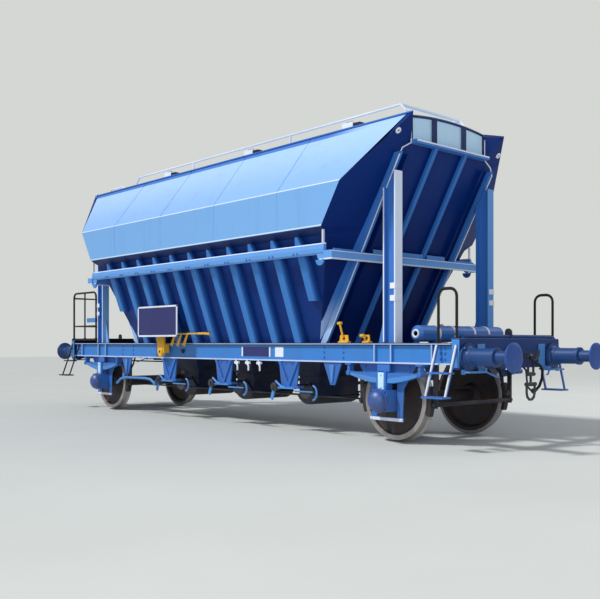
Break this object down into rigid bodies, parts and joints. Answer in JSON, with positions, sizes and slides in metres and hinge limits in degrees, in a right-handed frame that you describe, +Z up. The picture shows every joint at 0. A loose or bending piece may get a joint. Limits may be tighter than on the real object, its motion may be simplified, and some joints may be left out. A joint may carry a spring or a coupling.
{
  "type": "covered hopper wagon",
  "caption": "Two-axle railway hopper wagon with a closed sloping roof, filling hatches, ribbed slope sheets and gravity discharge bays under the frame.",
  "frame": {"origin": "on the ground plane under the middle of the wagon, level with the lowest points of the wheel flanges", "axes": "+X towards the front end, +Y across to the left side, +Z up"},
  "size_m": [10.56, 3.07, 4.2566],
  "materials": {
    "mid_blue_paint": "semi-gloss",
    "light_blue_paint": "semi-gloss",
    "sky_blue_paint": "semi-gloss",
    "navy_paint": "semi-gloss",
    "white_paint": "semi-gloss",
    "black_paint": "satin",
    "yellow_paint": "satin",
    "wheel_steel": "worn",
    "gate_steel": "worn"
  },
  "bodies": {
    "wagon": {"air_tank": "mid_blue_paint", "axle_guard_front_left": "mid_blue_paint", "axle_guard_front_right": "mid_blue_paint", "axle_guard_rear_left": "mid_blue_paint", "axle_guard_rear_right": "mid_blue_paint", "bay_funnel_1": "mid_blue_paint", "bay_funnel_2": "mid_blue_paint", "bay_funnel_3": "mid_blue_paint", "buffer_front_left": "mid_blue_paint", "buffer_front_right": "mid_blue_paint", "buffer_rear_left": "mid_blue_paint", "buffer_rear_right": "mid_blue_paint", "corner_post_front_left": "mid_blue_paint", "corner_post_front_right": "mid_blue_paint", "corner_post_rear_left": "mid_blue_paint", "corner_post_rear_right": "mid_blue_paint", "draw_gear_front": "black_paint", "draw_gear_rear": "black_paint", "end_frame_front": "mid_blue_paint", "end_frame_rear": "mid_blue_paint", "end_ladder": "black_paint", "end_panel_front": "light_blue_paint", "end_panel_rear": "light_blue_paint", "end_slope_front": "navy_paint", "end_slope_rear": "navy_paint", "front_steps_left": "mid_blue_paint", "front_steps_right": "mid_blue_paint", "hand_hoop_left": "black_paint", "hand_hoop_right": "black_paint", "lever_stand_left": "yellow_paint", "lever_stand_right": "yellow_paint", "rear_platform": "black_paint", "rear_steps_left": "black_paint", "rear_steps_right": "black_paint", "roof_crown": "sky_blue_paint", "roof_rail": "white_paint", "side_panel_left": "light_blue_paint", "side_panel_right": "light_blue_paint", "side_sheet_left": "mid_blue_paint", "side_sheet_right": "mid_blue_paint", "sole_bar_left": "mid_blue_paint", "sole_bar_right": "mid_blue_paint", "spring_box_front_left": "mid_blue_paint", "spring_box_front_right": "mid_blue_paint", "spring_box_rear_left": "mid_blue_paint", "spring_box_rear_right": "mid_blue_paint", "waist_beam_front": "mid_blue_paint", "waist_beam_rear": "mid_blue_paint", "waist_rail_left": "mid_blue_paint", "waist_rail_right": "mid_blue_paint"},
    "wheelset_front": {"wheelset_front": "wheel_steel"},
    "wheelset_rear": {"wheelset_rear": "wheel_steel"},
    "bay_gate_1": {"bay_gate_1": "gate_steel"},
    "hatch_lid_1": {"hatch_lid_1": "black_paint"},
    "bay_gate_2": {"bay_gate_2": "gate_steel"},
    "hatch_lid_2": {"hatch_lid_2": "black_paint"},
    "bay_gate_3": {"bay_gate_3": "gate_steel"},
    "hatch_lid_3": {"hatch_lid_3": "black_paint"}
  },
  "joints": [
    {"name": "front_wheels_turn", "type": "hinge", "parent": "wagon", "child": "wheelset_front", "pos_m": [3.5, 0, 0.53], "axis": [0, 1, 0], "continuous": true},
    {"name": "rear_wheels_turn", "type": "hinge", "parent": "wagon", "child": "wheelset_rear", "pos_m": [-3.5, 0, 0.53], "axis": [0, 1, 0], "continuous": true},
    {"name": "bay_gate_1_swings", "type": "hinge", "parent": "wagon", "child": "bay_gate_1", "pos_m": [-1.49, 0, 0.62], "axis": [0, -1, 0], "range_deg": [0, 60]},
    {"name": "bay_gate_2_swings", "type": "hinge", "parent": "wagon", "child": "bay_gate_2", "pos_m": [0, 0, 0.62], "axis": [0, -1, 0], "range_deg": [0, 60]},
    {"name": "bay_gate_3_swings", "type": "hinge", "parent": "wagon", "child": "bay_gate_3", "pos_m": [1.49, 0, 0.62], "axis": [0, -1, 0], "range_deg": [0, 60]},
    {"name": "hatch_lid_1_opens", "type": "hinge", "parent": "wagon", "child": "hatch_lid_1", "pos_m": [-2.3, 0.32, 4.13], "axis": [-1, 0, 0], "range_deg": [0, 100]},
    {"name": "hatch_lid_2_opens", "type": "hinge", "parent": "wagon", "child": "hatch_lid_2", "pos_m": [0, 0.32, 4.13], "axis": [-1, 0, 0], "range_deg": [0, 100]},
    {"name": "hatch_lid_3_opens", "type": "hinge", "parent": "wagon", "child": "hatch_lid_3", "pos_m": [2.3, 0.32, 4.13], "axis": [-1, 0, 0], "range_deg": [0, 100]}
  ]
}
